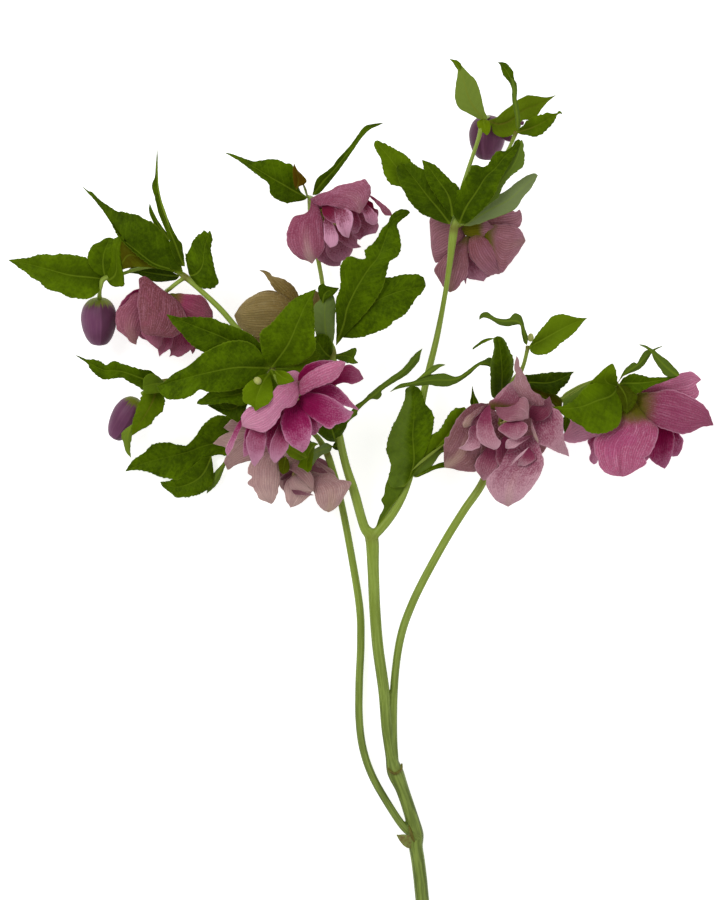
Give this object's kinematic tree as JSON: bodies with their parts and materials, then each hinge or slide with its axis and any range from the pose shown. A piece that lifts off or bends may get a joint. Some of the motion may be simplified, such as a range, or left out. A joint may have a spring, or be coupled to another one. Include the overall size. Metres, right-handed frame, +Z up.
{
  "type": "cut hellebore flower spray",
  "caption": "Cut flowering spray of double hellebore with a branched green stem, nodding pink and mauve blooms, egg-shaped buds and toothed leafy bracts, lying on a flat surface.",
  "frame": {"origin": "on the surface the spray lies on, under the cut end of the stem", "axes": "+Y up the spray from the cut end, +Z up off the surface, +X to the right as seen from above with the cut end nearest"},
  "size_m": [0.3529, 0.4261, 0.0763],
  "materials": {
    "stem": "smooth, soft sheen",
    "leaf": "matt, finely veined",
    "petal_magenta": "satin, veined",
    "petal_mauve": "satin, veined",
    "petal_pale": "satin, veined",
    "petal_olive": "satin, veined",
    "stamen": "matt",
    "bud": "satin, veined"
  },
  "bodies": {
    "root": {"stem": "stem", "far_left_leaf": "leaf", "folded_leaf": "leaf", "up_left_leaf": "leaf", "upright_leaf": "leaf", "drooping_leaf": "leaf", "small_dark_leaf": "leaf", "dark_leaf": "leaf", "great_left_leaf": "leaf", "front_leaf": "leaf", "upper_leaf": "leaf", "curly_leaf": "leaf", "hanging_leaf": "leaf", "low_left_leaf": "leaf", "lobed_leaf": "leaf", "strip_leaf": "leaf", "little_leaf": "leaf", "narrow_leaf": "leaf", "forked_leaf": "leaf", "long_leaf": "leaf", "bent_leaf": "leaf", "mini_left_leaf": "leaf", "mini_right_leaf": "leaf", "dark_right_leaf": "leaf", "olive_leaf": "leaf", "great_right_leaf": "leaf", "tipped_leaf": "leaf", "slim_leaf": "leaf", "tall_left_leaf": "leaf", "tall_right_leaf": "leaf", "tall_low_leaf": "leaf", "top_left_leaf": "leaf", "top_right_leaf": "leaf", "twisted_leaf": "leaf", "small_low_leaf": "leaf", "crown_left_leaf": "leaf", "crown_brown_leaf": "leaf", "crown_right_leaf": "leaf", "left_bloom": "petal_mauve", "left_bloom_tuft": "stamen", "tan_bloom": "petal_olive", "tan_bloom_tuft": "stamen", "crown_bloom": "petal_magenta", "crown_bloom_tuft": "stamen", "tall_bloom": "petal_mauve", "tall_bloom_tuft": "stamen", "pink_bloom": "petal_magenta", "pink_bloom_tuft": "stamen", "pale_bloom": "petal_pale", "pale_bloom_tuft": "stamen", "double_bloom": "petal_mauve", "double_bloom_tuft": "stamen", "right_bloom": "petal_magenta", "right_bloom_tuft": "stamen", "left_bud": "bud", "low_bud": "bud", "top_bud": "bud"}
  },
  "joints": []
}
